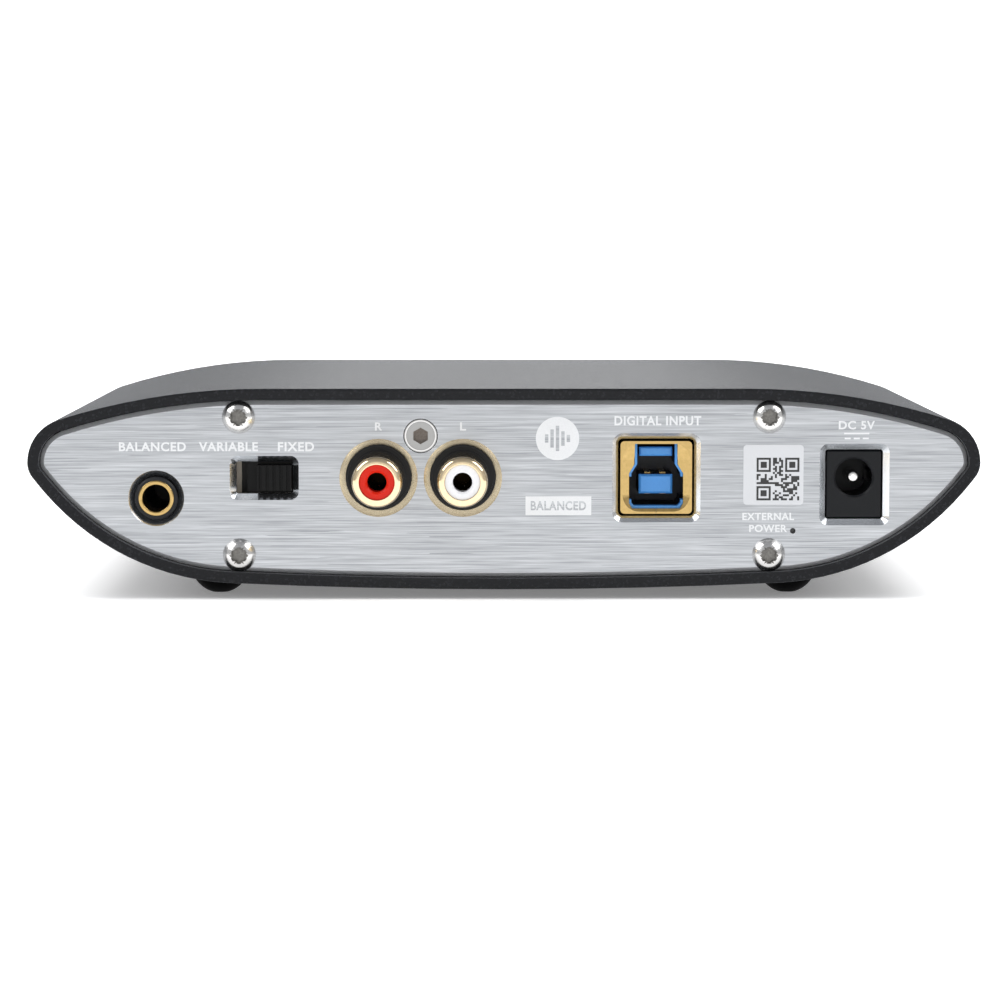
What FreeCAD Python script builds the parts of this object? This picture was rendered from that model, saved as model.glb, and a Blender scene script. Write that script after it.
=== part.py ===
import FreeCAD, Part
import math
import os

# Desktop digital-to-analogue converter: a lens-shaped extruded case with a brushed plate at each end.
# Millimetres. +Z up, +Y towards the rear sockets, the front controls face -Y. The origin lies on the
# surface that the feet stand on, under the middle of the overall box.
V = FreeCAD.Vector
Y_AXIS = V(0, 1, 0)
Z_AXIS = V(0, 0, 1)

# ---- case ------------------------------------------------------------------------------------------
body_width = 158.0
body_height = 33.4
body_depth = 100.0
wall = 1.85                  # extruded case wall
rim_fillet = 0.35            # rounding of the case's outer end edges
nose_drop_share = 0.368      # widest point of the profile, below the top, as a part of the height
nose_upper_radius = 7.5
shoulder_radius = 110.0
nose_lower_radius = 4.0
nose_lower_sweep = 37.5      # degrees
flank_radius = 68.0
flank_sweep = 2.8            # degrees
base_radius = 960.0          # very slight crown of the underside
knob_proud = 8.5             # volume knob, beyond the front rim
phono_proud = 8.5            # phono sockets, beyond the rear rim
foot_proud = 1.6             # lowest point of the case above the surface

# ---- end plates ------------------------------------------------------------------------------------
panel_thickness = 2.0
panel_recess = 1.0           # plate face behind the rim
panel_gap = 0.15             # plate edge to case wall
panel_edge_chamfer = 0.7
cut_chamfer = 1.0            # polished chamfer around each rear cut-out
tape_thickness = 0.2
carrier_thickness = 2.3

# ---- fasteners -------------------------------------------------------------------------------------
screw_radius = 1.5
thread_gap = 0.05            # radial, shank to tapped hole
screw_length = 8.0
screw_head_radius = 2.75
screw_head_height = 1.65
screw_inset = 2.85           # screw axis to the inner wall
boss_radius = 3.2
screw_at = 0.557             # places along the plates: 0 in the middle, 1 at the tip of the case
csk_head_radius = 2.75
csk_head_gap = 0.12

# ---- feet ------------------------------------------------------------------------------------------
foot_at = 0.6075
foot_setback = 12.0          # foot centre from the case end
foot_dome_radius = 5.0
foot_flat_radius = 1.5
foot_gap = 0.1

# ---- circuit board ---------------------------------------------------------------------------------
board_thickness = 1.6
board_end_gap = 1.5          # board edge to the parts in front of and behind it
board_side_gap = 0.3
board_slot_gap = 0.1
rib_thickness = 1.2
rib_reach = 2.5
axis_rise = 1.85             # socket axis above the middle of the case
axis_over_board = 6.75       # socket axis above the board's top

# ---- rear sockets ----------------------------------------------------------------------------------
phono_at = 0.1752            # middle of the phono pair
phono_pitch = 14.0
phono_shell_radius = 4.15
phono_tail_radius = 3.8
phono_mouth_radius = 2.95
phono_lip_radius = 1.05       # rounding of the shell's outer edge
phono_bore_radius = 1.6
phono_stem_radius = 1.0
phono_chamber_radius = 2.3
phono_contact_wall = 0.35
phono_collar_radius = 5.4
phono_hole_radius = 5.5
phono_collar_sunk = 1.05
phono_screw_rise = 6.98
phono_block_depth = 11.0
phono_block_width = 26.0
line_jack_at = 0.731
line_jack_drop = 3.38        # below the common socket axis
jack_bore_radius = 2.25      # 4.4 mm plug
jack_sleeve_radius = 2.95
jack_nose_radius = 3.55
jack_hole_gap = 0.1
jack_sleeve_length = 6.0
jack_body_length = 22.0
jack_body_width = 8.6
usb_at = -0.3201
usb_width = 11.9
usb_height = 12.1
usb_gap = 0.38
usb_depth = 17.0
usb_wall = 0.35
usb_sunk = 0.6               # shell lip behind the plate's face
dc_at = -0.7367
dc_width = 9.2
dc_height = 11.2
dc_gap = 0.2
dc_depth = 13.5
dc_sunk = 1.0
dc_bore_radius = 3.1
dc_bore_depth = 9.5
dc_pin_radius = 1.0
dc_stem_radius = 0.7
switch_at = 0.5038
switch_hole_width = 9.45
switch_hole_height = 5.36
slider_width = 5.7
slider_height = 4.2
slider_end_gap = 0.2         # thumb piece to the end of its slot, both ways
led_at = -0.6076
led_hole_radius = 0.47
label_at = -0.566
label_side = 10.0
label_thickness = 0.1
label_below_screw = 1.85

# ---- front controls --------------------------------------------------------------------------------
front_axis_over_board = 6.0
knob_radius = 9.0
knob_gap = 0.6               # knob's back to the light guide
knob_chamfer = 0.5
knob_face = 2.0
shaft_radius = 3.0
running_gap = 0.03
bush_radius = 3.5
pot_width = 11.0
pot_depth = 7.0
halo_ring_width = 1.6
halo_flange = 1.2
halo_gap = 0.1
gain_button_at = -0.557
bass_button_at = -0.38
button_radius = 2.5
button_gap = 0.15
button_proud = 1.6
button_travel = 0.9
button_flange = 0.8
pipe_rise = 6.2
pipe_radius = 0.6
phones_at = 0.392
phones_bore_radius = 3.25    # 6.35 mm plug
phones_sleeve_radius = 4.3
phones_nose_radius = 5.6
phones_body_length = 30.0
phones_body_width = 14.0
balanced_at = 0.633


# ---- levels that follow from those ------------------------------------------------------------------
half_width = body_width / 2
y_rear = (body_depth + knob_proud - phono_proud) / 2
y_front = y_rear - body_depth
rear_face = y_rear - panel_recess
rear_seat = rear_face - panel_thickness
front_face = y_front + panel_recess
front_back = front_face + panel_thickness
carrier_front = front_back + tape_thickness
front_seat = carrier_front + carrier_thickness
socket_z = foot_proud + body_height / 2 + axis_rise
board_top = socket_z - axis_over_board
board_bottom = board_top - board_thickness
front_z = board_top + front_axis_over_board
board_front = front_seat + board_end_gap
board_rear = rear_seat - board_end_gap
halo_radius = knob_radius + halo_ring_width
switch_travel = switch_hole_width - slider_width - 2 * slider_end_gap


def along(place):
    """X of a place on the end plates, given as a part of the half width."""
    return place * half_width


# ---- case profile -----------------------------------------------------------------------------------
def profile_arcs():
    """Right half of the case's outer profile below the flat top, as (centre x, z, radius, start, end)."""
    nose_z = body_height * (1 - nose_drop_share)
    upper_x = half_width - nose_upper_radius
    lean = shoulder_radius - nose_upper_radius
    fall = body_height - shoulder_radius - nose_z
    shoulder_x = upper_x - math.sqrt(lean ** 2 - fall ** 2)
    shoulder_z = body_height - shoulder_radius
    join_top = math.atan2(nose_z - shoulder_z, upper_x - shoulder_x)
    turn = -math.radians(nose_lower_sweep)
    lower_x = half_width - nose_lower_radius
    flank_x = lower_x - (flank_radius - nose_lower_radius) * math.cos(turn)
    flank_z = nose_z - (flank_radius - nose_lower_radius) * math.sin(turn)
    join_flank = turn - math.radians(flank_sweep)
    to_x, to_z = math.cos(join_flank), math.sin(join_flank)
    end_x, end_z = flank_x + flank_radius * to_x, flank_z + flank_radius * to_z - base_radius
    # the belly is tangent to the flank's end and to the base
    belly_radius = (end_x ** 2 + end_z ** 2 - base_radius ** 2) / (2 * (end_x * to_x + end_z * to_z - base_radius))
    belly_x, belly_z = end_x - belly_radius * to_x, end_z - belly_radius * to_z + base_radius
    join_base = math.atan2(belly_z - base_radius, belly_x)
    return [
        (shoulder_x, shoulder_z, shoulder_radius, math.pi / 2, join_top),
        (upper_x, nose_z, nose_upper_radius, join_top, 0),
        (lower_x, nose_z, nose_lower_radius, 0, turn),
        (flank_x, flank_z, flank_radius, turn, join_flank),
        (belly_x, belly_z, belly_radius, join_flank, join_base),
        (0, base_radius, base_radius, join_base, -math.pi / 2),
    ]


def on_arc(arc, inset, angle, y, mirror=1):
    x, z, radius = arc[0], arc[1], arc[2] - inset
    return V(mirror * (x + radius * math.cos(angle)), y, foot_proud + z + radius * math.sin(angle))


def profile_wire(inset, y):
    """Closed case profile, moved inwards by inset, in the plane y."""
    arcs = profile_arcs()
    edges = []
    for mirror in (1, -1):
        for arc in arcs:
            points = [on_arc(arc, inset, a, y, mirror) for a in (arc[3], (arc[3] + arc[4]) / 2, arc[4])]
            edges.append(Part.Arc(*points).toShape())
    right, left = (on_arc(arcs[0], inset, arcs[0][3], y, m) for m in (1, -1))
    edges.append(Part.makeLine(left, right))
    return Part.Wire(Part.__sortEdges__(edges))


def profile_solid(inset, y0, y1):
    return Part.Face(profile_wire(inset, y0)).extrude(V(0, y1 - y0, 0))


def floor_z(x, inset=0.0):
    """Height of the case's underside at x, moved inwards by inset."""
    for cx, cz, radius, start, end in reversed(profile_arcs()):
        r = radius - inset
        if cx + r * math.cos(end) - 1e-9 <= abs(x) <= cx + r * math.cos(start) + 1e-9 and start <= 0:
            return foot_proud + cz - math.sqrt(r ** 2 - (abs(x) - cx) ** 2)


def ceiling_z(x, inset=0.0):
    """Height of the case's top at x, moved inwards by inset."""
    cx, cz, radius = profile_arcs()[0][:3]
    r = radius - inset
    return foot_proud + cz + math.sqrt(r ** 2 - max(0.0, abs(x) - cx) ** 2)


def wall_x(z, inset):
    """Half width of the case at height z below its widest point, moved inwards by inset."""
    for cx, cz, radius, start, end in profile_arcs()[2:]:
        r = radius - inset
        if cz + r * math.sin(end) <= z - foot_proud <= cz + r * math.sin(start):
            return cx + math.sqrt(r ** 2 - (z - foot_proud - cz) ** 2)


# ---- shapes -----------------------------------------------------------------------------------------
def block(x0, x1, y0, y1, z0, z1):
    low = V(min(x0, x1), min(y0, y1), min(z0, z1))
    return Part.makeBox(abs(x1 - x0), abs(y1 - y0), abs(z1 - z0), low)


def centred_block(x, z, width, height, y0, y1):
    return block(x - width / 2, x + width / 2, y0, y1, z - height / 2, z + height / 2)


def rod(x, z, radius, y0, y1):
    """Cylinder along Y."""
    return Part.makeCylinder(radius, abs(y1 - y0), V(x, min(y0, y1), z), Y_AXIS)


def post(x, y, radius, z0, z1):
    """Upright cylinder."""
    return Part.makeCylinder(radius, z1 - z0, V(x, y, z0), Z_AXIS)


def tube(x, z, outer, inner, y0, y1):
    return rod(x, z, outer, y0, y1).cut(rod(x, z, inner, y0 - 1, y1 + 1))


def cone(x, z, r0, r1, y0, y1):
    """Cone along Y, of radius r0 at y0 and r1 at y1, where y0 < y1."""
    return Part.makeCone(r0, r1, y1 - y0, V(x, y0, z), Y_AXIS)


def fused(shapes):
    return shapes[0].multiFuse(shapes[1:]).removeSplitter()


def without(shape, cuts):
    return shape.cut(Part.makeCompound(cuts))


def round_rectangle(x, z, width, height, radius, y):
    """Rounded rectangle wire in the plane y."""
    w, h, k = width / 2, height / 2, radius * (1 - math.sqrt(0.5))
    corners = [(1, 1), (-1, 1), (-1, -1), (1, -1)]
    edges = []
    ends = []
    for i, (sx, sz) in enumerate(corners):
        a = V(x + sx * w, y, z + sz * (h - radius))
        b = V(x + sx * (w - k), y, z + sz * (h - k))
        c = V(x + sx * (w - radius), y, z + sz * h)
        first, last = (a, c) if sx == sz else (c, a)
        edges.append(Part.Arc(first, b, last).toShape())
        ends.append((first, last))
    for i in range(4):
        edges.append(Part.makeLine(ends[i][1], ends[(i + 1) % 4][0]))
    return Part.Wire(Part.__sortEdges__(edges))


def round_block(x, z, width, height, radius, y0, y1):
    return Part.Face(round_rectangle(x, z, width, height, radius, y0)).extrude(V(0, y1 - y0, 0))


def flared_block(x, z, width, height, radius, flare, y0, y1):
    """Frustum that widens by flare on every side from y0 to y1."""
    small = round_rectangle(x, z, width, height, radius, y0)
    large = round_rectangle(x, z, width + 2 * flare, height + 2 * flare, radius + flare, y1)
    return Part.makeLoft([small, large], True, True)


def end_edges(shape, y):
    """Edges of a shape that lie in the plane y."""
    return [e for e in shape.Edges if all(abs(v.Point.y - y) < 1e-6 for v in e.Vertexes)]


def polygon_block(points, y0, y1):
    corners = [V(x, y0, z) for x, z in points]
    return Part.Face(Part.makePolygon(corners + corners[:1])).extrude(V(0, y1 - y0, 0))


def hexagon(x, z, across_flats, y0, y1):
    reach = across_flats / math.sqrt(3)
    points = [(x + reach * math.sin(i * math.pi / 3), z + reach * math.cos(i * math.pi / 3)) for i in range(6)]
    return polygon_block(points, y0, y1)


def round_cut(x, z, radius, chamfer, face, back, outward):
    """Through hole with a chamfer at the face. outward is +1 or -1 along Y."""
    hole = rod(x, z, radius, back - outward, face + outward)
    if outward > 0:
        return hole.fuse(cone(x, z, radius, radius + chamfer, face - chamfer, face))
    return hole.fuse(cone(x, z, radius + chamfer, radius, face, face + chamfer))


# ---- case and plates --------------------------------------------------------------------------------
def screw_places():
    x = along(screw_at)
    upper = ceiling_z(x, wall) - screw_inset
    lower = floor_z(x, wall) + screw_inset
    return [(sx * x, z) for z in (upper, lower) for sx in (-1, 1)]


def foot_places():
    x = along(foot_at)
    names = (("front", y_front + foot_setback), ("rear", y_rear - foot_setback))
    return [(f"foot_{end}_{side}", sx * x, y) for end, y in names for side, sx in (("left", -1), ("right", 1))]


def foot_seat():
    """Height of the flat pocket that a foot is stuck in."""
    return floor_z(along(foot_at) + foot_dome_radius)


def board_half_width():
    return wall_x(board_bottom, wall) - board_side_gap


def body_shell():
    outer = profile_solid(0, y_front, y_rear)
    outer = outer.makeFillet(rim_fillet, end_edges(outer, y_front) + end_edges(outer, y_rear))
    shell = outer.cut(profile_solid(wall, y_front - 1, y_rear + 1))
    inside = [rod(x, z, boss_radius, front_seat, rear_seat) for x, z in screw_places()]
    edge = board_half_width()
    for low in (board_top + board_slot_gap, board_bottom - board_slot_gap - rib_thickness):
        for side in (-1, 1):
            inside.append(block(side * (edge - rib_reach), side * half_width, front_seat, rear_seat, low,
                                low + rib_thickness))
    core = profile_solid(wall / 2, front_seat, rear_seat)
    shell = fused([shell] + [piece.common(core) for piece in inside])
    holes = [rod(x, z, screw_radius + thread_gap, y_front, y_rear) for x, z in screw_places()]
    pockets = [post(x, y, foot_dome_radius + foot_gap, -1, foot_seat()) for name, x, y in foot_places()]
    return without(shell, holes + pockets)


def plate(face, back, chamfer):
    """Plate that fills the case profile between its face and its back, chamfered round the face."""
    made = profile_solid(wall + panel_gap, back, face)
    return made.makeChamfer(chamfer, end_edges(made, face))


def rear_panel():
    made = plate(rear_face, rear_seat, panel_edge_chamfer)
    cuts = [rod(x, z, screw_radius + 0.15, rear_seat - 1, rear_face + 1) for x, z in screw_places()]
    for side in (-1, 1):
        x = along(phono_at) + side * phono_pitch / 2
        cuts.append(round_cut(x, socket_z, phono_hole_radius, cut_chamfer, rear_face, rear_seat, 1))
    cuts.append(round_cut(along(line_jack_at), socket_z - line_jack_drop, jack_nose_radius + jack_hole_gap,
                          cut_chamfer, rear_face, rear_seat, 1))
    cuts.append(rod(along(led_at), led_z(), led_hole_radius, rear_seat - 1, rear_face + 1))
    for x, z, width, height, radius in (
        (along(usb_at), socket_z, usb_width + 2 * usb_gap, usb_height + 2 * usb_gap, 0.8),
        (along(dc_at), dc_z(), dc_width + 2 * dc_gap, dc_height + 2 * dc_gap, 0.5),
        (along(switch_at), socket_z, switch_hole_width, switch_hole_height, 0.4),
    ):
        cuts.append(round_block(x, z, width, height, radius, rear_seat - 1, rear_face + 1))
        cuts.append(flared_block(x, z, width, height, radius, cut_chamfer, rear_face - cut_chamfer, rear_face))
    x, z = phono_screw_place()
    cuts.append(rod(x, z, screw_radius + 0.15, rear_seat - 1, rear_face + 1))
    grow = csk_head_radius + csk_head_gap - screw_radius
    cuts.append(cone(x, z, screw_radius, screw_radius + grow, rear_face - grow, rear_face))
    return without(made, cuts)


def front_cuts(y0, y1, margin):
    """Openings that the front controls need in a layer behind the front plate."""
    cuts = [rod(0, front_z, halo_radius + halo_gap + margin, y0, y1)]
    for x in (along(gain_button_at), along(bass_button_at)):
        cuts.append(rod(x, front_z, button_radius + button_gap + margin, y0, y1))
        cuts.append(rod(x, front_z + pipe_rise, pipe_radius + 0.05, y0, y1))
    cuts.append(rod(along(phones_at), front_z, phones_nose_radius + jack_hole_gap, y0, y1))
    cuts.append(rod(along(balanced_at), front_z, jack_nose_radius + jack_hole_gap, y0, y1))
    return cuts


def front_panel():
    made = plate(front_face, front_back, panel_edge_chamfer)
    cuts = front_cuts(front_face - 1, front_back + 1, 0)
    for place, radius in ((phones_at, phones_nose_radius), (balanced_at, jack_nose_radius)):
        cuts.append(round_cut(along(place), front_z, radius + jack_hole_gap, cut_chamfer, front_face, front_back, -1))
    for place in (gain_button_at, bass_button_at):
        cuts.append(round_cut(along(place), front_z, button_radius + button_gap, 0.4, front_face, front_back, -1))
    return without(made, cuts)


def front_panel_tape():
    sheet = profile_solid(wall + panel_gap + panel_edge_chamfer, front_back, carrier_front)
    return without(sheet, front_cuts(front_back - 1, carrier_front + 1, halo_flange + halo_gap))


def front_carrier():
    made = profile_solid(wall + panel_gap, carrier_front, front_seat)
    cuts = front_cuts(carrier_front - 1, front_seat + 1, halo_flange + halo_gap)
    sink = csk_head_radius - screw_radius
    for x, z in screw_places():
        cuts.append(rod(x, z, screw_radius + 0.15, carrier_front - 1, front_seat + 1))
        cuts.append(cone(x, z, csk_head_radius + csk_head_gap, screw_radius, carrier_front,
                         carrier_front + sink + csk_head_gap))
    return without(made, cuts)


# ---- fasteners and feet -----------------------------------------------------------------------------
def six_lobe(x, z, reach, y0, y1):
    """Six-lobed driver recess."""
    lobe = 0.24 * reach
    pieces = [rod(x, z, 0.78 * reach, y0, y1)]
    for i in range(6):
        turn = i * math.pi / 3
        middle = reach - lobe
        pieces.append(rod(x + middle * math.sin(turn), z + middle * math.cos(turn), lobe, y0, y1))
    return fused(pieces)


def button_head_screw(x, z):
    """Domed screw whose head stands on the rear plate."""
    dome_radius = (screw_head_radius ** 2 + screw_head_height ** 2) / (2 * screw_head_height)
    dome_centre = rear_face + screw_head_height - dome_radius
    dome = Part.makeSphere(dome_radius, V(x, dome_centre, z))
    head = dome.common(rod(x, z, screw_head_radius, rear_face, rear_face + 2 * screw_head_height))
    crown = rear_face + screw_head_height
    head = head.cut(rod(x, z, 1.55, crown - 0.1, crown + 1))
    head = head.cut(six_lobe(x, z, 1.4, crown - 1.1, crown + 1))
    shank = rod(x, z, screw_radius, rear_face - screw_length, rear_face)
    return fused([head, shank])


def rear_panel_screws():
    return Part.makeCompound([button_head_screw(x, z) for x, z in screw_places()])


def countersunk_screw(x, z, face, inward, socket):
    """Flat-headed screw flush with face, going inwards along inward (+1 or -1), with a hexagon socket."""
    height = csk_head_radius - screw_radius
    shank = rod(x, z, screw_radius, face, face + inward * screw_length)
    if inward > 0:
        head = cone(x, z, csk_head_radius, screw_radius, face, face + height)
    else:
        head = cone(x, z, screw_radius, csk_head_radius, face - height, face)
    return fused([head, shank]).cut(hexagon(x, z, socket, face - 1.2, face + 1.2))


def front_carrier_screws():
    return Part.makeCompound([countersunk_screw(x, z, carrier_front, 1, 2.0) for x, z in screw_places()])


def phono_screw_place():
    return along(phono_at), socket_z + phono_screw_rise


def phono_fixing_screw():
    x, z = phono_screw_place()
    return countersunk_screw(x, z, rear_face, -1, 2.4)


def foot(x, y):
    """Domed rubber bumper with a small flat at the bottom."""
    centre = math.sqrt(foot_dome_radius ** 2 - foot_flat_radius ** 2)
    dome = Part.makeSphere(foot_dome_radius, V(x, y, centre))
    return dome.common(post(x, y, foot_dome_radius, 0, foot_seat()))


# ---- circuit board and what stands on it ------------------------------------------------------------
def main_board():
    edge = board_half_width()
    return block(-edge, edge, board_front, board_rear, board_bottom, board_top)


def on_board(x, y, width, depth, height):
    """Flat component standing on the board, centred on x and y."""
    return block(x - width / 2, x + width / 2, y - depth / 2, y + depth / 2, board_top, board_top + height)


def bay(share_x, share_y):
    """Place in the free middle of the board, between the front and the rear sockets."""
    low = front_face + phones_body_length + 3
    high = rear_seat - usb_depth - 4
    return share_x * board_half_width(), (low + high) / 2 + share_y * (high - low) / 2


def signal_chips():
    places = ((0.0, 0.0, 9.0, 9.0, 1.2), (0.24, 0.0, 6.4, 5.3, 1.4), (0.44, 0.55, 5.0, 4.0, 1.5),
              (0.44, -0.55, 5.0, 4.0, 1.5), (-0.58, 0.55, 6.5, 6.1, 2.3), (-0.58, -0.55, 5.0, 4.0, 1.5))
    return Part.makeCompound([on_board(*bay(x, y), w, d, h) for x, y, w, d, h in places])


def clock_cans():
    return Part.makeCompound([on_board(*bay(-0.15, y), 5.0, 3.2, 1.3) for y in (-0.5, 0.5)])


def electrolytic_capacitors():
    places = [bay(-0.32, y) for y in (-0.7, 0.0, 0.7)] + [bay(0.66, y) for y in (-0.7, 0.0, 0.7)]
    return Part.makeCompound([post(x, y, 3.15, board_top, board_top + 7.7) for x, y in places])


def film_capacitors():
    places = [bay(0.84, y) for y in (-0.7, 0.0, 0.7)]
    return Part.makeCompound([on_board(x, y, 4.0, 7.2, 6.5) for x, y in places])


def power_inductors():
    places = [bay(-0.78, y) for y in (-0.55, 0.55)]
    return Part.makeCompound([on_board(x, y, 6.8, 6.8, 3.2) for x, y in places])


# ---- phono sockets ----------------------------------------------------------------------------------
def phono_x(side):
    """Side is -1 for the left channel and +1 for the right one."""
    return along(phono_at) + side * phono_pitch / 2


phono_base = rear_face - phono_collar_sunk
phono_tip = y_rear + phono_proud
phono_chamber_back = rear_seat - phono_block_depth + 3
phono_chamber_front = phono_tip - 3.85


def phono_housing():
    x0, top = along(phono_at), socket_z + phono_screw_rise + 2.9
    back = rear_seat - phono_block_depth
    body = block(x0 - phono_block_width / 2, x0 + phono_block_width / 2, back, rear_seat, board_top, top)
    body = body.makeFillet(0.5, body.Edges)
    pieces = [body] + [rod(phono_x(s), socket_z, phono_collar_radius, rear_seat - 1, phono_base) for s in (-1, 1)]
    housing = fused(pieces)
    cuts = [rod(phono_x(s), socket_z, phono_tail_radius, back + 2, rear_face + 1) for s in (-1, 1)]
    for side in (-1, 1):
        cuts.append(tube(phono_x(side), socket_z, phono_collar_radius - 0.35, phono_shell_radius + 0.25,
                         phono_base - 0.5, phono_base + 0.5))
        cuts.append(rod(phono_x(side), socket_z, phono_stem_radius, back - 1, back + 3))
    x, z = phono_screw_place()
    cuts.append(rod(x, z, screw_radius + thread_gap, rear_face - screw_length - 0.5, rear_face))
    return without(housing, cuts)


def phono_shell(side):
    """Plated outer contact: a turned sleeve with a rounded lip and a thinner tail in the housing."""
    x = phono_x(side)
    barrel = rod(x, socket_z, phono_shell_radius, phono_base, phono_tip)
    barrel = barrel.makeFillet(phono_lip_radius, end_edges(barrel, phono_tip))
    tail = rod(x, socket_z, phono_tail_radius, phono_chamber_back - 1, phono_base)
    bore = rod(x, socket_z, phono_mouth_radius, rear_seat - phono_block_depth, phono_tip + 1)
    return fused([barrel, tail]).cut(bore)


def phono_insulator(side):
    """Coloured insulator with the hole for the plug's pin, and a wider chamber behind for its contact."""
    x = phono_x(side)
    tip = phono_tip - 0.35
    body = rod(x, socket_z, phono_mouth_radius, phono_chamber_back - 1, tip)
    body = body.makeFillet(0.2, end_edges(body, tip))
    hole = rod(x, socket_z, phono_bore_radius, phono_chamber_front - 1, tip + 1)
    mouth = cone(x, socket_z, phono_bore_radius, phono_bore_radius + 0.35, tip - 0.35, tip)
    chamber = rod(x, socket_z, phono_chamber_radius, phono_chamber_back, phono_chamber_front)
    stem_hole = rod(x, socket_z, phono_stem_radius, phono_chamber_back - 2, phono_chamber_front)
    return without(body, [hole, mouth, chamber, stem_hole])


def phono_contacts():
    """Sprung half sleeves that grip the plug's pin, and the tail that runs down to the board."""
    sleeve_radius = phono_bore_radius + phono_contact_wall
    front, back = phono_chamber_front - 0.2, phono_chamber_back
    tail_back = rear_seat - phono_block_depth - 1.5
    made = []
    for side in (-1, 1):
        x = phono_x(side)
        sleeve = tube(x, socket_z, sleeve_radius, phono_bore_radius, back, front)
        sleeve = sleeve.cut(block(x - 0.25, x + 0.25, back + 1.5, front + 1, socket_z - 3, socket_z + 3))
        stem = rod(x, socket_z, phono_stem_radius, tail_back + 0.5, back + 0.6)
        disc = rod(x, socket_z, sleeve_radius, back, back + 0.6)
        tail = block(x - 0.6, x + 0.6, tail_back, tail_back + 0.5, board_top, socket_z + 1)
        made.append(fused([sleeve, disc, stem, tail]))
    return Part.makeCompound(made)


# ---- 4.4 mm and 6.35 mm jacks -----------------------------------------------------------------------
def jack_body(x, z, face, inward, nose, bore, sleeve, width, height_above, length):
    """Moulded jack: a block on the board with a round nose in the plate and a bore with a sleeve seat."""
    seat = face + inward * panel_thickness
    if inward > 0:
        seat = front_seat
    start = seat + inward * 0.1
    back = face + inward * length
    body = block(x - width / 2, x + width / 2, start, back, board_top, z + height_above)
    made = fused([body, rod(x, z, nose, start + inward, face)])
    made = made.makeChamfer(0.25, end_edges(made, face))
    bore_end = back - inward * 1.5
    cuts = [rod(x, z, bore, face - inward, bore_end),
            rod(x, z, sleeve, face - inward, face + inward * jack_sleeve_length)]
    return without(made, cuts)


def jack_sleeve(x, z, face, inward, bore, sleeve, proud):
    """Plated ring pressed into the jack's nose."""
    tip = face - inward * proud
    made = tube(x, z, sleeve, bore, *sorted((tip, face + inward * jack_sleeve_length)))
    lip = [e for e in end_edges(made, tip)]
    return made.makeFillet(0.22, lip)


def jack_contacts(x, z, face, inward, width, length, count):
    """Contact strips on the flanks of the moulding, down to the board."""
    made = []
    thick = 0.3
    for i in range(count):
        side = 1 if i % 2 else -1
        y = face + inward * (length * (i + 2) / (count + 2))
        near = x + side * width / 2
        made.append(block(near, near + side * thick, y - 0.6, y + 0.6, board_top, z + 1.5))
    return Part.makeCompound(made)


def line_jack_place():
    return along(line_jack_at), socket_z - line_jack_drop


def line_jack_body():
    x, z = line_jack_place()
    return jack_body(x, z, rear_face, -1, jack_nose_radius, jack_bore_radius, jack_sleeve_radius, jack_body_width,
                     3.9, jack_body_length)


def line_jack_sleeve():
    x, z = line_jack_place()
    return jack_sleeve(x, z, rear_face, -1, jack_bore_radius, jack_sleeve_radius, 0.25)


def line_jack_contacts():
    x, z = line_jack_place()
    return jack_contacts(x, z, rear_face, -1, jack_body_width, jack_body_length, 5)


def balanced_jack_body():
    return jack_body(along(balanced_at), front_z, front_face, 1, jack_nose_radius, jack_bore_radius,
                     jack_sleeve_radius, jack_body_width, 4.3, jack_body_length + carrier_thickness)


def balanced_jack_sleeve():
    return jack_sleeve(along(balanced_at), front_z, front_face, 1, jack_bore_radius, jack_sleeve_radius, 0.25)


def balanced_jack_contacts():
    return jack_contacts(along(balanced_at), front_z, front_face, 1, jack_body_width, jack_body_length, 5)


def phones_jack_body():
    return jack_body(along(phones_at), front_z, front_face, 1, phones_nose_radius, phones_bore_radius,
                     phones_sleeve_radius, phones_body_width, 6.3, phones_body_length)


def phones_jack_sleeve():
    return jack_sleeve(along(phones_at), front_z, front_face, 1, phones_bore_radius, phones_sleeve_radius, 0.3)


def phones_jack_contacts():
    return jack_contacts(along(phones_at), front_z, front_face, 1, phones_body_width, phones_body_length - 2, 4)


# ---- data socket ------------------------------------------------------------------------------------
usb_face = rear_face - usb_sunk
usb_back = usb_face - usb_depth
usb_flap_depth = 1.1
usb_narrow = 7.1             # upper part of the mating opening
usb_wide = 9.0               # lower part of the mating opening
usb_shoulder = 2.15          # where the flanks start to widen, above the socket axis
usb_widened = 0.65           # where they have widened
usb_opening_top = 5.6
usb_opening_bottom = -5.2
usb_liner = 0.4
usb_tongue_z = -1.25          # middle of the lower tongue, from the socket axis
usb_tongue_height = 3.2
usb_bar_z = 4.2              # middle of the upper tongue
usb_bar_height = 1.5


def usb_opening(shrink, y0, y1):
    """House-shaped mating opening, narrowed by shrink all round but at its top."""
    narrow, wide = usb_narrow / 2 - shrink, usb_wide / 2 - shrink
    x, z = along(usb_at), socket_z
    right = [(narrow, usb_opening_top), (narrow, usb_shoulder), (wide, usb_widened),
             (wide, usb_opening_bottom + 0.9), (wide - 0.5, usb_opening_bottom + shrink)]
    points = [(x + px, z + pz) for px, pz in right] + [(x - px, z + pz) for px, pz in reversed(right)]
    return polygon_block(points, y0, y1)


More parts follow.
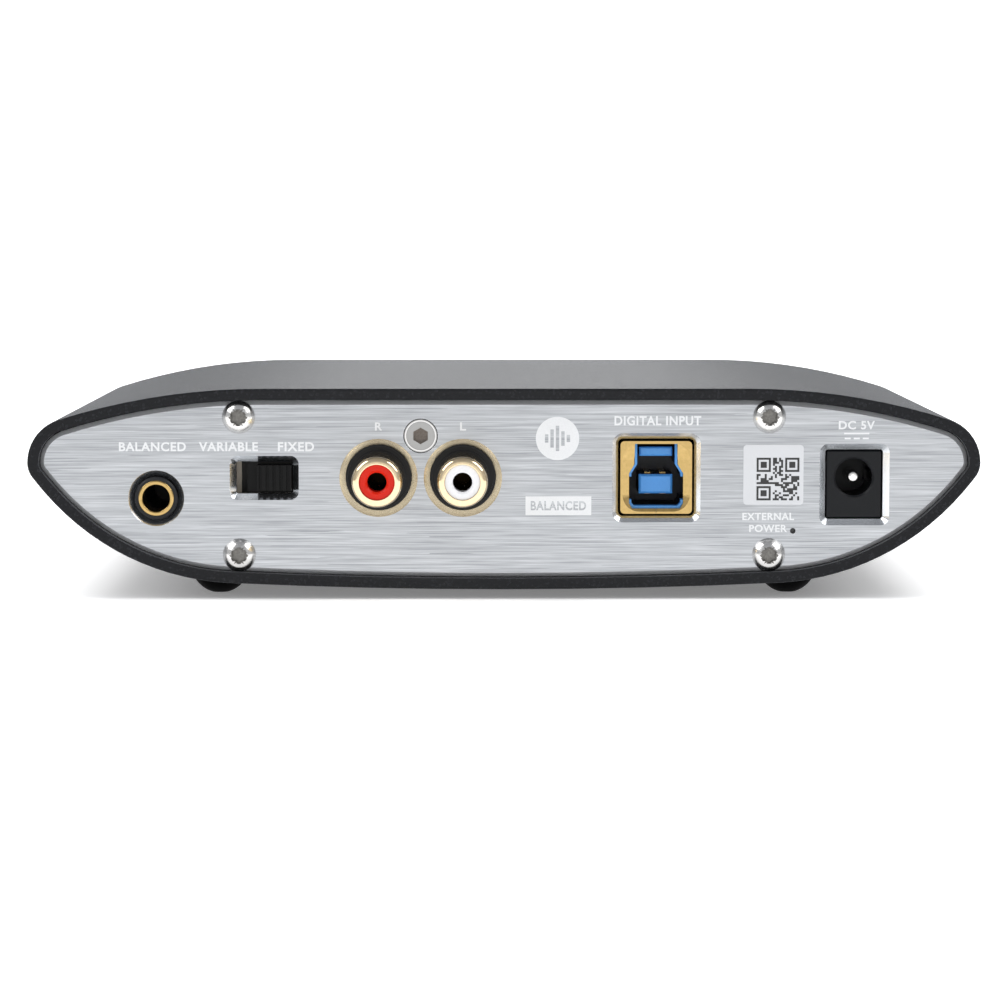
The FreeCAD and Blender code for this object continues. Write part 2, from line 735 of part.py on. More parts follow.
def usb_shell():
    """Folded plated shell whose lips turn inwards round the mating opening."""
    x, z = along(usb_at), socket_z
    outside = round_block(x, z, usb_width, usb_height, 0.7, usb_back, usb_face)
    inside = round_block(x, z, usb_width - 2 * usb_wall, usb_height - 2 * usb_wall, 0.4, usb_back - 1,
                         usb_face - usb_flap_depth - usb_wall)
    slope = 2.6
    flare_small = (usb_width - 2 * usb_wall - 2 * slope, usb_height - 2 * usb_wall - 2 * slope)
    funnel = flared_block(x, z, flare_small[0], flare_small[1], 0.2, slope, usb_face - usb_flap_depth, usb_face)
    made = without(outside, [inside, funnel, usb_opening(0, usb_face - 4, usb_face + 1)])
    seam = block(x - 0.04, x + 0.04, usb_face - 3, usb_face + 1, z - usb_height / 2 - 1, z + usb_opening_bottom + 0.5)
    return made.cut(seam)


def usb_insulator():
    """Coloured moulding: a liner round the mating opening, a back wall and two contact tongues."""
    x, z = along(usb_at), socket_z
    front = usb_face - usb_flap_depth - usb_wall
    gap = usb_wall + 0.02
    outside = round_block(x, z, usb_width - 2 * gap, usb_height - 2 * gap, 0.4, usb_back + 0.5, front)
    lip = usb_opening(0.02, front - 0.5, usb_face - usb_flap_depth + 0.35)
    hollow = usb_opening(usb_liner, usb_back + 4.5, usb_face + 1)
    cuts = [hollow]
    for side in (-1, 1):
        near, far = x + side * (usb_wide / 2 - usb_liner - 0.05), x + side * (usb_wide / 2 + 0.6)
        cuts.append(block(near, far, usb_back + 4.5, usb_face + 1, z - 3.75, z + 0.1))
    lower = centred_block(x, z + usb_tongue_z, 5.6, usb_tongue_height, usb_back + 1, usb_face - 2.2)
    upper = centred_block(x, z + usb_bar_z, 5.5, usb_bar_height, usb_back + 1, usb_face - 2.0)
    lower = lower.makeChamfer(0.35, end_edges(lower, usb_face - 2.2))
    upper = upper.makeChamfer(0.25, end_edges(upper, usb_face - 2.0))
    return fused([without(fused([outside, lip]), cuts), lower, upper])


def usb_contacts():
    x, z = along(usb_at), socket_z
    made = []
    y0, y1 = usb_back + 4.5, usb_face - 4.6
    top, bottom = z + usb_tongue_z + usb_tongue_height / 2, z + usb_tongue_z - usb_tongue_height / 2
    bar = z + usb_bar_z - usb_bar_height / 2
    for px in (-1.25, 1.25):
        made.append(block(x + px - 0.5, x + px + 0.5, y0, y1, top, top + 0.2))
        made.append(block(x + px - 0.5, x + px + 0.5, y0, y1, bottom - 0.2, bottom))
    for i in range(5):
        px = (i - 2) * 1.0
        made.append(block(x + px - 0.25, x + px + 0.25, y0, y1, bar - 0.15, bar))
    return Part.makeCompound(made)


# ---- power socket -----------------------------------------------------------------------------------
dc_face = rear_face - dc_sunk


def dc_z():
    """Middle of the power socket's moulding, whose base stands on the board."""
    return board_top + dc_height / 2


def dc_jack_body():
    x = along(dc_at)
    back = dc_face - dc_depth
    body = block(x - dc_width / 2, x + dc_width / 2, back, dc_face, board_top, board_top + dc_height)
    body = body.makeFillet(0.3, body.Edges)
    bore = rod(x, socket_z, dc_bore_radius, dc_face - dc_bore_depth, dc_face + 1)
    mouth = cone(x, socket_z, dc_bore_radius, dc_bore_radius + 0.3, dc_face - 0.3, dc_face)
    pin_hole = rod(x, socket_z, dc_stem_radius, back - 1, dc_face)
    groove = block(x - 3.6, x - 2.4, dc_face - dc_bore_depth - 1.5, dc_face - 2, socket_z - 1.1, socket_z + 1.1)
    return without(body, [bore, mouth, pin_hole, groove])


def dc_jack_pin():
    x = along(dc_at)
    tip = dc_face - 1.2
    pin = rod(x, socket_z, dc_pin_radius, dc_face - dc_bore_depth, tip)
    pin = pin.makeFillet(0.6, end_edges(pin, tip))
    stem = rod(x, socket_z, dc_stem_radius, dc_face - dc_depth - 0.6, dc_face - dc_bore_depth)
    return fused([pin, stem, rod(x, socket_z, 1.6, dc_face - dc_depth - 1.0, dc_face - dc_depth)])


def dc_jack_spring():
    """Side contact leaf in its groove."""
    x = along(dc_at)
    front, back = dc_face - 2.3, dc_face - dc_bore_depth - 1.2
    middle = (front + back) / 2
    outer = [V(x - 3.45, back, socket_z), V(x - 2.75, middle, socket_z), V(x - 3.45, front, socket_z)]
    inner = [p + V(0.25, 0, 0) for p in outer]
    loop = [Part.Arc(*outer).toShape(), Part.makeLine(outer[2], inner[2]), Part.Arc(*inner).toShape(),
            Part.makeLine(inner[0], outer[0])]
    leaf = Part.Face(Part.Wire(Part.__sortEdges__(loop))).extrude(V(0, 0, 1.8))
    leaf.translate(V(0, 0, -0.9))
    return leaf


# ---- output mode switch -----------------------------------------------------------------------------
switch_can_width = 14.0
switch_can_height = 7.2
switch_can_depth = 4.6
switch_sheet = 0.4
switch_can_front = rear_seat - 0.1
switch_can_back = switch_can_front - switch_can_depth


def slider_rest_x():
    """The slider rests at the end of its slot nearest the case's middle."""
    return along(switch_at) - switch_hole_width / 2 + slider_end_gap + slider_width / 2


def switch_frame():
    x = along(switch_at)
    can = centred_block(x, socket_z, switch_can_width, switch_can_height, switch_can_back, switch_can_front)
    inner = centred_block(x, socket_z, switch_can_width - 2 * switch_sheet, switch_can_height - 2 * switch_sheet,
                          switch_can_back - 1, switch_can_front - switch_sheet)
    window = centred_block(x, socket_z, switch_hole_width, switch_hole_height, switch_can_front - 1,
                           switch_can_front + 1)
    return without(can, [inner, window])


def switch_base():
    """Laminate plate that closes the can and carries the terminals."""
    x = along(switch_at)
    width = switch_can_width - 2 * switch_sheet
    return centred_block(x, socket_z, width, switch_can_height - 2 * switch_sheet, switch_can_back,
                         switch_can_back + 1.2)


def switch_slider():
    """Ribbed thumb piece on a plate that runs in the can."""
    x = slider_rest_x()
    plate_front = switch_can_front - switch_sheet - 0.1
    reach = switch_can_width / 2 - switch_sheet - 0.3
    plate_low = along(switch_at) - reach
    plate_high = along(switch_at) + reach - switch_travel
    base = block(plate_low, plate_high, plate_front - 1.6, plate_front, socket_z - 3.0, socket_z + 3.0)
    tip = rear_face + 0.35
    thumb = centred_block(x, socket_z, slider_width, slider_height, plate_front - 0.5, tip)
    grooves = []
    ribs = 5
    pitch = slider_width / ribs
    for i in range(ribs):
        gx = x - slider_width / 2 + (i + 0.5) * pitch
        grooves.append(block(gx - 0.26, gx + 0.26, tip - 0.5, tip + 1, socket_z - 3, socket_z + 3))
    return fused([base, thumb.cut(Part.makeCompound(grooves))])


def switch_terminals():
    made = []
    for i in (-1, 0, 1):
        x = along(switch_at) + 3.5 * i
        leg = block(x - 0.4, x + 0.4, switch_can_back - 2.0, switch_can_back - 1.6, board_top, socket_z + 0.3)
        arm = block(x - 0.4, x + 0.4, switch_can_back - 2.0, switch_can_back, socket_z - 0.1, socket_z + 0.3)
        made.append(fused([leg, arm]))
    return Part.makeCompound(made)


# ---- power light and label --------------------------------------------------------------------------
def led_z():
    """The power light hangs under the board's rear edge."""
    return board_bottom - 0.5


def power_led():
    x = along(led_at)
    emitter = block(x - 1.5, x + 1.5, board_rear - 1.6, board_rear + 0.2, board_bottom - 1.1, board_bottom)
    return fused([emitter, rod(x, led_z(), led_hole_radius - 0.04, board_rear - 0.2, rear_face - 0.7)])


def panel_label():
    upper = screw_places()[0][1]
    z = upper - screw_head_radius - label_below_screw - label_side / 2
    return round_block(along(label_at), z, label_side, label_side, 0.6, rear_face, rear_face + label_thickness)


# ---- volume control ---------------------------------------------------------------------------------
knob_front = y_front - knob_proud
knob_back = front_face - knob_gap
pot_front = front_seat + 1.0
bush_front = front_back - 0.3


def volume_knob():
    made = rod(0, front_z, knob_radius, knob_front, knob_back)
    made = made.makeChamfer(knob_chamfer, end_edges(made, knob_front))
    shaft_hole = rod(0, front_z, shaft_radius + 0.02, knob_front + knob_face, knob_back + 1)
    pocket = tube(0, front_z, knob_radius - 1.5, shaft_radius + 1.6, knob_front + knob_face + 0.6, knob_back + 1)
    notch = block(-0.45, 0.45, knob_front - 1, knob_front + 0.35, front_z + knob_radius - 3.6,
                  front_z + knob_radius + 1)
    return without(made, [shaft_hole, pocket, notch])


def pot_shaft():
    made = rod(0, front_z, shaft_radius, knob_front + knob_face, pot_front + 3.0)
    collar = rod(0, front_z, shaft_radius + 0.8, pot_front + 1.5, pot_front + 3.0)
    return fused([made, collar])


def pot_bush():
    return tube(0, front_z, bush_radius, shaft_radius + running_gap, bush_front, pot_front)


def pot_body():
    body = block(-pot_width / 2, pot_width / 2, pot_front, pot_front + pot_depth, board_top, front_z + 5.5)
    body = body.makeChamfer(0.4, end_edges(body, pot_front + pot_depth))
    throat = rod(0, front_z, shaft_radius + running_gap, pot_front - 1, pot_front + 1.4)
    chamber = rod(0, front_z, shaft_radius + 1.0, pot_front + 1.4, pot_front + 3.2)
    return without(body, [throat, chamber])


def halo_light_guide():
    """Translucent disc that shows as a ring round the knob, with two legs back to its lights."""
    disc = rod(0, front_z, halo_radius, front_face + 0.1, front_back)
    flange = rod(0, front_z, halo_radius + halo_flange, front_back, front_seat)
    legs = [block(s * 7.0, s * 9.6, front_seat - 1, front_seat + 3.0, board_top + 0.6, board_top + 3.0)
            for s in (-1, 1)]
    return fused([disc, flange] + legs).cut(rod(0, front_z, bush_radius + 0.4, y_front, pot_front + 5))


# ---- push buttons -----------------------------------------------------------------------------------
button_stem_end = front_seat + 2.4
switch_body_front = button_stem_end + 4.4
plunger_radius = 1.3
collar_radius = 2.3


def button(place):
    """Turned cap, its retaining flange behind the front plate, and a stem."""
    x = along(place)
    tip = front_face - button_proud
    flange_front = front_back + 0.05
    cap = rod(x, front_z, button_radius, tip, flange_front + 0.1)
    cap = cap.makeFillet(0.3, end_edges(cap, tip))
    flange = rod(x, front_z, button_radius + 0.75, flange_front, flange_front + button_flange)
    stem = rod(x, front_z, 1.2, flange_front, button_stem_end)
    return fused([cap, flange, stem])


def switch_plunger(place):
    x = along(place)
    stalk = rod(x, front_z, plunger_radius, button_stem_end, switch_body_front + 3.0)
    collar = rod(x, front_z, collar_radius, button_stem_end + 0.6, button_stem_end + 1.2)
    return fused([stalk, collar])


def switch_body(place):
    x = along(place)
    depth = 9.0
    body = block(x - 3.8, x + 3.8, switch_body_front, switch_body_front + depth, board_top, front_z + 3.6)
    return body.cut(rod(x, front_z, plunger_radius + 0.1, switch_body_front - 1, switch_body_front + 5))


def return_spring(place):
    """Coil spring between the plunger's collar and the switch body, bent in short straight steps."""
    wire_radius = 0.16
    start = button_stem_end + 1.2 + wire_radius
    length = switch_body_front - wire_radius - start
    radius = collar_radius - 2 * wire_radius
    turns, steps = 4, 12
    points = []
    for i in range(turns * steps + 1):
        angle = 2 * math.pi * i / steps
        points.append(V(along(place) + radius * math.cos(angle), start + length * i / (turns * steps),
                        front_z + radius * math.sin(angle)))
    section = Part.Wire(Part.makeCircle(wire_radius, points[0], points[1] - points[0]))
    return Part.makePolygon(points).makePipeShell([section], True, True, 1)


def light_pipe(place):
    """Clear rod from its window back, sideways past the button and down to a light on the board."""
    x, z = along(place), front_z + pipe_rise
    turn = front_seat + 0.5
    thick = 2 * pipe_radius
    window = rod(x, z, pipe_radius, front_face - 0.1, turn + pipe_radius)
    bar = block(x - pipe_radius, x + 4.6, turn, turn + thick, z - pipe_radius, z + pipe_radius)
    leg = block(x + 4.6 - thick, x + 4.6, turn, turn + thick, board_top + 1.0, z + pipe_radius)
    return fused([window, bar, leg])


def button_light_pipes():
    return Part.makeCompound([light_pipe(p) for p in (gain_button_at, bass_button_at)])


def front_leds():
    """Surface-mounted lights for the two light pipes and the ring."""
    made = []
    for place in (gain_button_at, bass_button_at):
        x = along(place) + 4.6 - pipe_radius
        made.append(block(x - 0.8, x + 0.8, board_front, board_front + 1.2, board_top, board_top + 0.8))
    for side in (-1, 1):
        made.append(block(side * 7.0, side * 9.6, front_seat + 3.2, front_seat + 4.6, board_top, board_top + 2.4))
    return Part.makeCompound(made)


# ---- the whole ---------------------------------------------------------------------------------------
def sub_parts():
    """Every sub-part, by the name of its file."""
    made = {
        "body_shell": body_shell(),
        "rear_panel": rear_panel(),
        "front_panel": front_panel(),
        "front_panel_tape": front_panel_tape(),
        "front_carrier": front_carrier(),
        "rear_panel_screws": rear_panel_screws(),
        "front_carrier_screws": front_carrier_screws(),
        "main_board": main_board(),
        "signal_chips": signal_chips(),
        "clock_cans": clock_cans(),
        "electrolytic_capacitors": electrolytic_capacitors(),
        "film_capacitors": film_capacitors(),
        "power_inductors": power_inductors(),
        "phono_housing": phono_housing(),
        "phono_shell_left": phono_shell(-1),
        "phono_shell_right": phono_shell(1),
        "phono_insulator_left": phono_insulator(-1),
        "phono_insulator_right": phono_insulator(1),
        "phono_contacts": phono_contacts(),
        "phono_fixing_screw": phono_fixing_screw(),
        "line_jack_body": line_jack_body(),
        "line_jack_sleeve": line_jack_sleeve(),
        "line_jack_contacts": line_jack_contacts(),
        "usb_shell": usb_shell(),
        "usb_insulator": usb_insulator(),
        "usb_contacts": usb_contacts(),
        "dc_jack_body": dc_jack_body(),
        "dc_jack_pin": dc_jack_pin(),
        "dc_jack_spring": dc_jack_spring(),
        "switch_frame": switch_frame(),
        "switch_base": switch_base(),
        "switch_slider": switch_slider(),
        "switch_terminals": switch_terminals(),
        "power_led": power_led(),
        "panel_label": panel_label(),
        "volume_knob": volume_knob(),
        "pot_shaft": pot_shaft(),
        "pot_bush": pot_bush(),
        "pot_body": pot_body(),
        "halo_light_guide": halo_light_guide(),
        "gain_button": button(gain_button_at),
        "bass_button": button(bass_button_at),
        "gain_switch_plunger": switch_plunger(gain_button_at),
        "bass_switch_plunger": switch_plunger(bass_button_at),
        "gain_switch_body": switch_body(gain_button_at),
        "bass_switch_body": switch_body(bass_button_at),
        "gain_switch_spring": return_spring(gain_button_at),
        "bass_switch_spring": return_spring(bass_button_at),
        "button_light_pipes": button_light_pipes(),
        "front_leds": front_leds(),
        "phones_jack_body": phones_jack_body(),
        "phones_jack_sleeve": phones_jack_sleeve(),
        "phones_jack_contacts": phones_jack_contacts(),
        "balanced_jack_body": balanced_jack_body(),
        "balanced_jack_sleeve": balanced_jack_sleeve(),
        "balanced_jack_contacts": balanced_jack_contacts(),
    }
    for name, x, y in foot_places():
        made[name] = foot(x, y)
    return made


def main():
    os.makedirs("parts", exist_ok=True)
    for name, shape in sub_parts().items():
        box = shape.BoundBox
        print(f"{name:26s} solids {len(shape.Solids)} valid {shape.isValid()} volume {shape.Volume:9.2f}"
              f" x {box.XMin:7.2f} {box.XMax:7.2f} y {box.YMin:7.2f} {box.YMax:7.2f}"
              f" z {box.ZMin:6.2f} {box.ZMax:6.2f}")
        shape.exportStep(f"parts/{name}.step")


main()
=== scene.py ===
import math
import random

import bmesh
import bpy
from mathutils import Matrix, Vector


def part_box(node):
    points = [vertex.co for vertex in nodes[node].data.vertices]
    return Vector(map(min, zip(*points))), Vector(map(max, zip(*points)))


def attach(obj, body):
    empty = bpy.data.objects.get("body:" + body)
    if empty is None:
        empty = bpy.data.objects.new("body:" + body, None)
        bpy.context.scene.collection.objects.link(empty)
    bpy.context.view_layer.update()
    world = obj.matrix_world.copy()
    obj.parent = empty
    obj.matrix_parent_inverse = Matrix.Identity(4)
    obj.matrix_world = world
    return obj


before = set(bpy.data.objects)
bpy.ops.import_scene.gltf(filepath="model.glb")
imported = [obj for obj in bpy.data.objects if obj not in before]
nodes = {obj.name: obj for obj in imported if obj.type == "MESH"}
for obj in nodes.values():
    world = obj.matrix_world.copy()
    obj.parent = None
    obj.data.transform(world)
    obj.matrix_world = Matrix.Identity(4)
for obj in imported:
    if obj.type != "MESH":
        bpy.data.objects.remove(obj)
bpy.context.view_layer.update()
MM = 0.001


# ---- the studio --------------------------------------------------------------------------------------
# The converter stands on a white sweep of paper that runs up behind it, between two large soft boxes. The
# paper glows faintly as an even fill, and the glow is painted darker under the case as a painted shadow. The
# room is white near the horizon and darker overhead and at the sides, so that the bright metals have
# something to show.

class Value:
    """A shader socket that takes part in Python sums: each sum adds its own Math node."""

    def __init__(self, finish, socket):
        self.finish, self.socket = finish, socket

    def sum(self, operation, first, second):
        return self.finish.node("Math", {"operation": operation}, {0: first, 1: second})

    def __add__(self, other):
        return self.sum("ADD", self, other)

    def __radd__(self, other):
        return self.sum("ADD", other, self)

    def __sub__(self, other):
        return self.sum("SUBTRACT", self, other)

    def __rsub__(self, other):
        return self.sum("SUBTRACT", other, self)

    def __mul__(self, other):
        return self.sum("MULTIPLY", self, other)

    def __rmul__(self, other):
        return self.sum("MULTIPLY", other, self)

    def __gt__(self, other):
        return self.sum("GREATER_THAN", self, other)

    def __lt__(self, other):
        return self.sum("LESS_THAN", self, other)


class Finish:
    """One surface finish, whose nodes all come from node()."""

    def __init__(self, name):
        self.material = bpy.data.materials.new(name)
        self.material.use_nodes = True
        self.tree = self.material.node_tree
        self.shader = self.tree.nodes["Principled BSDF"]

    def node(self, kind, settings=None, sockets=None, output=0):
        made = self.tree.nodes.new("ShaderNode" + kind)
        for name, value in (settings or {}).items():
            if name == "stops":
                ramp = made.color_ramp.elements
                while len(ramp) < len(value):
                    ramp.new(1.0)
                for stop, (position, colour) in zip(ramp, value):
                    stop.position, stop.color = position, colour
            else:
                setattr(made, name, value)
        for name, value in (sockets or {}).items():
            self.feed(made.inputs[name], value)
        return Value(self, made.outputs[output])

    def feed(self, socket, value):
        if isinstance(value, Value):
            self.tree.links.new(value.socket, socket)
        else:
            socket.default_value = value

    def surface(self, **sockets):
        """Sets or links the shader's sockets, named with underscores for spaces."""
        for name, value in sockets.items():
            self.feed(self.shader.inputs[name.replace("_", " ")], value)
        return self

    def along(self, axis):
        """The point's distance along one axis, in millimetres."""
        return self.node("SeparateXYZ", {}, {0: self.place()}, axis)

    def rise(self, value, low, high):
        """A smooth step from 0 at low to 1 at high."""
        sockets = {"Value": value, "From Min": low, "From Max": high}
        return self.node("MapRange", {"interpolation_type": "SMOOTHSTEP"}, sockets)

    def from_axis(self, centre):
        """The distance in millimetres from a line through centre that runs front to back."""
        middle = [v / MM for v in centre]
        away = self.node("VectorMath", {"operation": "SUBTRACT"}, {0: self.place(), 1: middle})
        flat = self.node("VectorMath", {"operation": "MULTIPLY"}, {0: away, 1: (1, 0, 1)})
        return self.node("VectorMath", {"operation": "LENGTH"}, {0: flat}, "Value")

    def rings(self, radius, scale, detail):
        """Noise from 0 to 1 that changes with the radius alone."""
        sockets = {"W": radius, "Scale": scale, "Detail": detail}
        return self.node("TexNoise", {"noise_dimensions": "1D"}, sockets, "Fac")

    def place(self, stretch=(1, 1, 1)):
        """The point on the object in millimetres, with each axis multiplied by its stretch."""
        point = self.node("TexCoord", output="Object")
        scale = [1000 * s for s in stretch]
        return self.node("VectorMath", {"operation": "MULTIPLY"}, {0: point, 1: scale})

    def grain(self, size, stretch=(1, 1, 1), detail=2.0, rough=0.5):
        """Noise from 0 to 1 with features about size millimetres across."""
        sockets = {"Vector": self.place(stretch), "Scale": 1 / size, "Detail": detail, "Roughness": rough}
        return self.node("TexNoise", {}, sockets, "Fac")

    def fleck(self, size, share, stretch=(1, 1, 1)):
        """1 in a share of small cells, each about size millimetres, and 0 elsewhere."""
        cell = self.node("TexVoronoi", {}, {"Vector": self.place(stretch), "Scale": 1 / size}, "Color")
        return self.node("SeparateColor", {}, {0: cell}) < share

    def blend(self, share, first, second):
        """As mix(), for colours that have four parts or come from other nodes."""
        return self.node("Mix", {"data_type": "RGBA"}, {0: share, 6: first, 7: second}, 2)

    def mix(self, share, first, second):
        """The colour that is first at share 0 and second at share 1."""
        return self.blend(share, (*first, 1), (*second, 1))

    def relief(self, height, depth):
        """A normal from height, where 1 stands depth millimetres above 0."""
        return self.node("Bump", {}, {"Strength": 1.0, "Distance": depth * MM, "Height": height})


scene = bpy.context.scene
scene.view_settings.view_transform = "Standard"
scene.view_settings.look = "None"

lens = bpy.data.cameras.new("camera")
lens.lens = 122.1
lens.clip_start = 0.01
camera = bpy.data.objects.new("camera", lens)
camera.location = Vector((3.1, 610.0, 66.93)) * MM
camera_aim = Vector((0.68, 50.0, 16.55)) * MM
camera.rotation_euler = (camera_aim - camera.location).to_track_quat("-Z", "Y").to_euler()
scene.collection.objects.link(camera)
scene.camera = camera

paper = Finish("white_paper")
tooth = paper.grain(0.6)
under = paper.node("VectorMath", {"operation": "ABSOLUTE"}, {0: paper.place()})
beyond = paper.node("VectorMath", {"operation": "SUBTRACT"}, {0: under, 1: (62, 46, 0)})
outside = paper.node("VectorMath", {"operation": "MAXIMUM"}, {0: beyond, 1: (0, 0, 0)})
flat = paper.node("VectorMath", {"operation": "MULTIPLY"}, {0: outside, 1: (1, 1, 0)})
reach = paper.node("VectorMath", {"operation": "LENGTH"}, {0: flat}, "Value")
# Painted shadow: the paper's glow drops to about a quarter under the case's footprint and fades back over 18
# mm.
painted_shadow_falloff = paper.rise(reach, 0.0, 18.0)
paper.surface(
    Base_Color=paper.mix(tooth, (0.88, 0.88, 0.88), (0.92, 0.92, 0.92)), Roughness=0.75,
    Emission_Color=paper.mix(painted_shadow_falloff, (0.24, 0.24, 0.24), (1.0, 1.0, 1.0)), Emission_Strength=0.82,
)
sweep_near, bend_start, bend_radius, sweep_top, sweep_half = 3.0, -1.6, 0.4, 0.7, 4.0
bend_steps = 8
sweep_mesh = bmesh.new()
rows = [(sweep_near, 0.0), (bend_start, 0.0)]
for i in range(1, bend_steps + 1):
    turn = i * math.pi / 2 / bend_steps
    rows.append((bend_start - bend_radius * math.sin(turn), bend_radius - bend_radius * math.cos(turn)))
rows.append((bend_start - bend_radius, sweep_top))
strips = [[sweep_mesh.verts.new((x, y, z)) for x in (-sweep_half, sweep_half)] for y, z in rows]
for (a, b), (c, d) in zip(strips, strips[1:]):
    sweep_mesh.faces.new((a, b, d, c))
sweep_data = bpy.data.meshes.new("sweep")
sweep_mesh.to_mesh(sweep_data)
sweep_mesh.free()
for face in sweep_data.polygons:
    face.use_smooth = True
sweep = bpy.data.objects.new("sweep", sweep_data)
sweep_data.materials.append(paper.material)
scene.collection.objects.link(sweep)


def soft_box(name, width, height, power, at, aim):
    light = bpy.data.lights.new(name, "AREA")
    light.shape = "RECTANGLE"
    light.size, light.size_y, light.energy = width, height, power
    lamp = bpy.data.objects.new(name, light)
    lamp.location = at
    lamp.rotation_euler = (Vector(aim) - Vector(at)).to_track_quat("-Z", "Y").to_euler()
    scene.collection.objects.link(lamp)


for name, across in (("soft_box_left", 0.85), ("soft_box_right", -0.85)):
    soft_box(name, 0.55, 0.7, 6.0, (across, 0.25, 0.85), (0, 0, 0.02))

room = bpy.data.worlds.new("room")
scene.world = room
room.use_nodes = True
air = Finish.__new__(Finish)
air.tree = room.node_tree
way = air.node("TexCoord", output="Generated")
depth = air.node("SeparateXYZ", {}, {0: way}, "Y")
height = air.node("SeparateXYZ", {}, {0: way}, "Z")
white = (1.0, 1.0, 1.0, 1)
ahead = [(0.0, white), (0.30, white), (0.60, (0.50, 0.51, 0.53, 1)), (1.0, (0.34, 0.35, 0.37, 1))]
back = [(0.0, white), (0.22, white), (0.45, (0.10, 0.10, 0.11, 1)), (1.0, (0.30, 0.31, 0.33, 1))]
before = air.node("ValToRGB", {"stops": ahead}, {0: height})
behind = air.node("ValToRGB", {"stops": back}, {0: height})
turned_away = air.node("MapRange", {}, {"Value": depth, "From Min": 0.05, "From Max": -0.25})
aside = air.node("Math", {"operation": "ABSOLUTE"}, {0: air.node("SeparateXYZ", {}, {0: way}, "X")})
side = air.rise(aside, 0.35, 0.85)
room_light = air.blend(turned_away, before, behind)
glow = air.blend(side * 0.62, room_light, (0.30, 0.31, 0.33, 1))
air.feed(air.tree.nodes["Background"].inputs["Color"], glow)


# ---- the case ----------------------------------------------------------------------------------------
# One length of extruded aluminium, blasted with fine beads and anodised almost black. The blasting leaves a
# fine even tooth, and is rougher towards the shoulders; a few small smoother cells carry painted glints in
# their colour.

def dress(finish, *names):
    for name in names:
        nodes[name].data.materials[0] = finish.material


blasted = Finish("blasted_case")
tooth = blasted.grain(0.30, rough=0.7)
glint = blasted.fleck(0.32, 0.09)
painted_sparkle = blasted.fleck(0.24, 0.03)
beside = blasted.node("Math", {"operation": "ABSOLUTE"}, {0: blasted.along("X")})
curve = blasted.rise(beside, 22.0, 66.0)
# Painted glints: small cells are made brighter in the base colour, on top of the grain's own tone.
bright = tooth * 0.5 + glint * 0.45 + painted_sparkle * 0.5
blasted.surface(
    Base_Color=blasted.mix(bright, (0.001, 0.0013, 0.002), (0.013, 0.014, 0.018)),
    Roughness=0.24 + 0.30 * tooth + 0.16 * curve - 0.10 * glint, Specular_IOR_Level=0.22,
    Sheen_Weight=0.22, Sheen_Roughness=0.35, Sheen_Tint=(0.92, 0.95, 1.0, 1.0),
    Normal=blasted.relief(tooth + 0.5 * glint, 0.09),
)
dress(blasted, "body_shell")


# ---- the feet ----------------------------------------------------------------------------------------
# Four self-adhesive bumpers of black polyurethane, domed, in shallow round pockets under the case.

bumper = Finish("bumper_rubber")
dust = bumper.grain(0.5, detail=4.0)
bumper.surface(
    Base_Color=bumper.mix(dust, (0.001, 0.001, 0.0012), (0.003, 0.003, 0.003)), Roughness=0.42 + 0.2 * dust,
    Specular_IOR_Level=0.07, Normal=bumper.relief(dust, 0.01),
)
dress(bumper, "foot_front_left", "foot_front_right", "foot_rear_left", "foot_rear_right")


# ---- the end plates ----------------------------------------------------------------------------------
# Two plates of 2 mm aluminium, brushed along their length and clear anodised. Their cut-outs and edges
# are milled after brushing, so each has a bright chamfer. The rear one is held by four screws.

rear_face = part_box("rear_panel")[1].y

brushed = Finish("brushed_plate")
hair = brushed.grain(0.10, (0.012, 1, 1), 3.0, 0.6)
scratch = brushed.grain(0.26, (0.018, 1, 1), 2.0, 0.55)
cut = brushed.grain(0.20, (0.009, 1, 1), 1.0)
cloud = brushed.grain(9.0, (0.15, 1, 1))
lines = hair * 0.5 + scratch * 0.5
streaks = (lines - 0.36) * 3.4 - 1.4 * (cut < 0.36)
brushed.surface(
    Base_Color=brushed.mix(streaks, (0.30, 0.31, 0.325), (0.555, 0.57, 0.59)),
    Metallic=1.0, Roughness=0.27 + 0.16 * lines + 0.05 * cloud, Normal=brushed.relief(lines, 0.018),
)
dress(brushed, "rear_panel", "front_panel")

milled = Finish("milled_edge")
chatter = milled.grain(0.12)
milled.surface(
    Base_Color=milled.mix(chatter, (0.66, 0.68, 0.71), (0.76, 0.78, 0.80)), Metallic=1.0,
    Roughness=0.17 + 0.08 * chatter, Normal=milled.relief(chatter, 0.001),
)


def recoat(name, finish, chosen):
    """Gives the faces that chosen(centre, normal) picks a finish of their own."""
    mesh = nodes[name].data
    mesh.materials.append(finish.material)
    spare = len(mesh.materials) - 1
    for face in mesh.polygons:
        if chosen(face.center, face.normal):
            face.material_index = spare


def sloped(centre, normal):
    return 0.15 < abs(normal.y) < 0.99


def near_cut(*names):
    """Picks the sloped faces that look in towards one of the named pieces."""
    boxes = [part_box(name) for name in names]
    margin = 2.5 * MM

    def chosen(centre, normal):
        if not sloped(centre, normal):
            return False
        for low, high in boxes:
            way_in = (low + high) / 2 - centre
            apart = max(low.x - centre.x, centre.x - high.x, low.z - centre.z, centre.z - high.z)
            if apart < margin and way_in.x * normal.x + way_in.z * normal.z > 0:
                return True
        return False

    return chosen


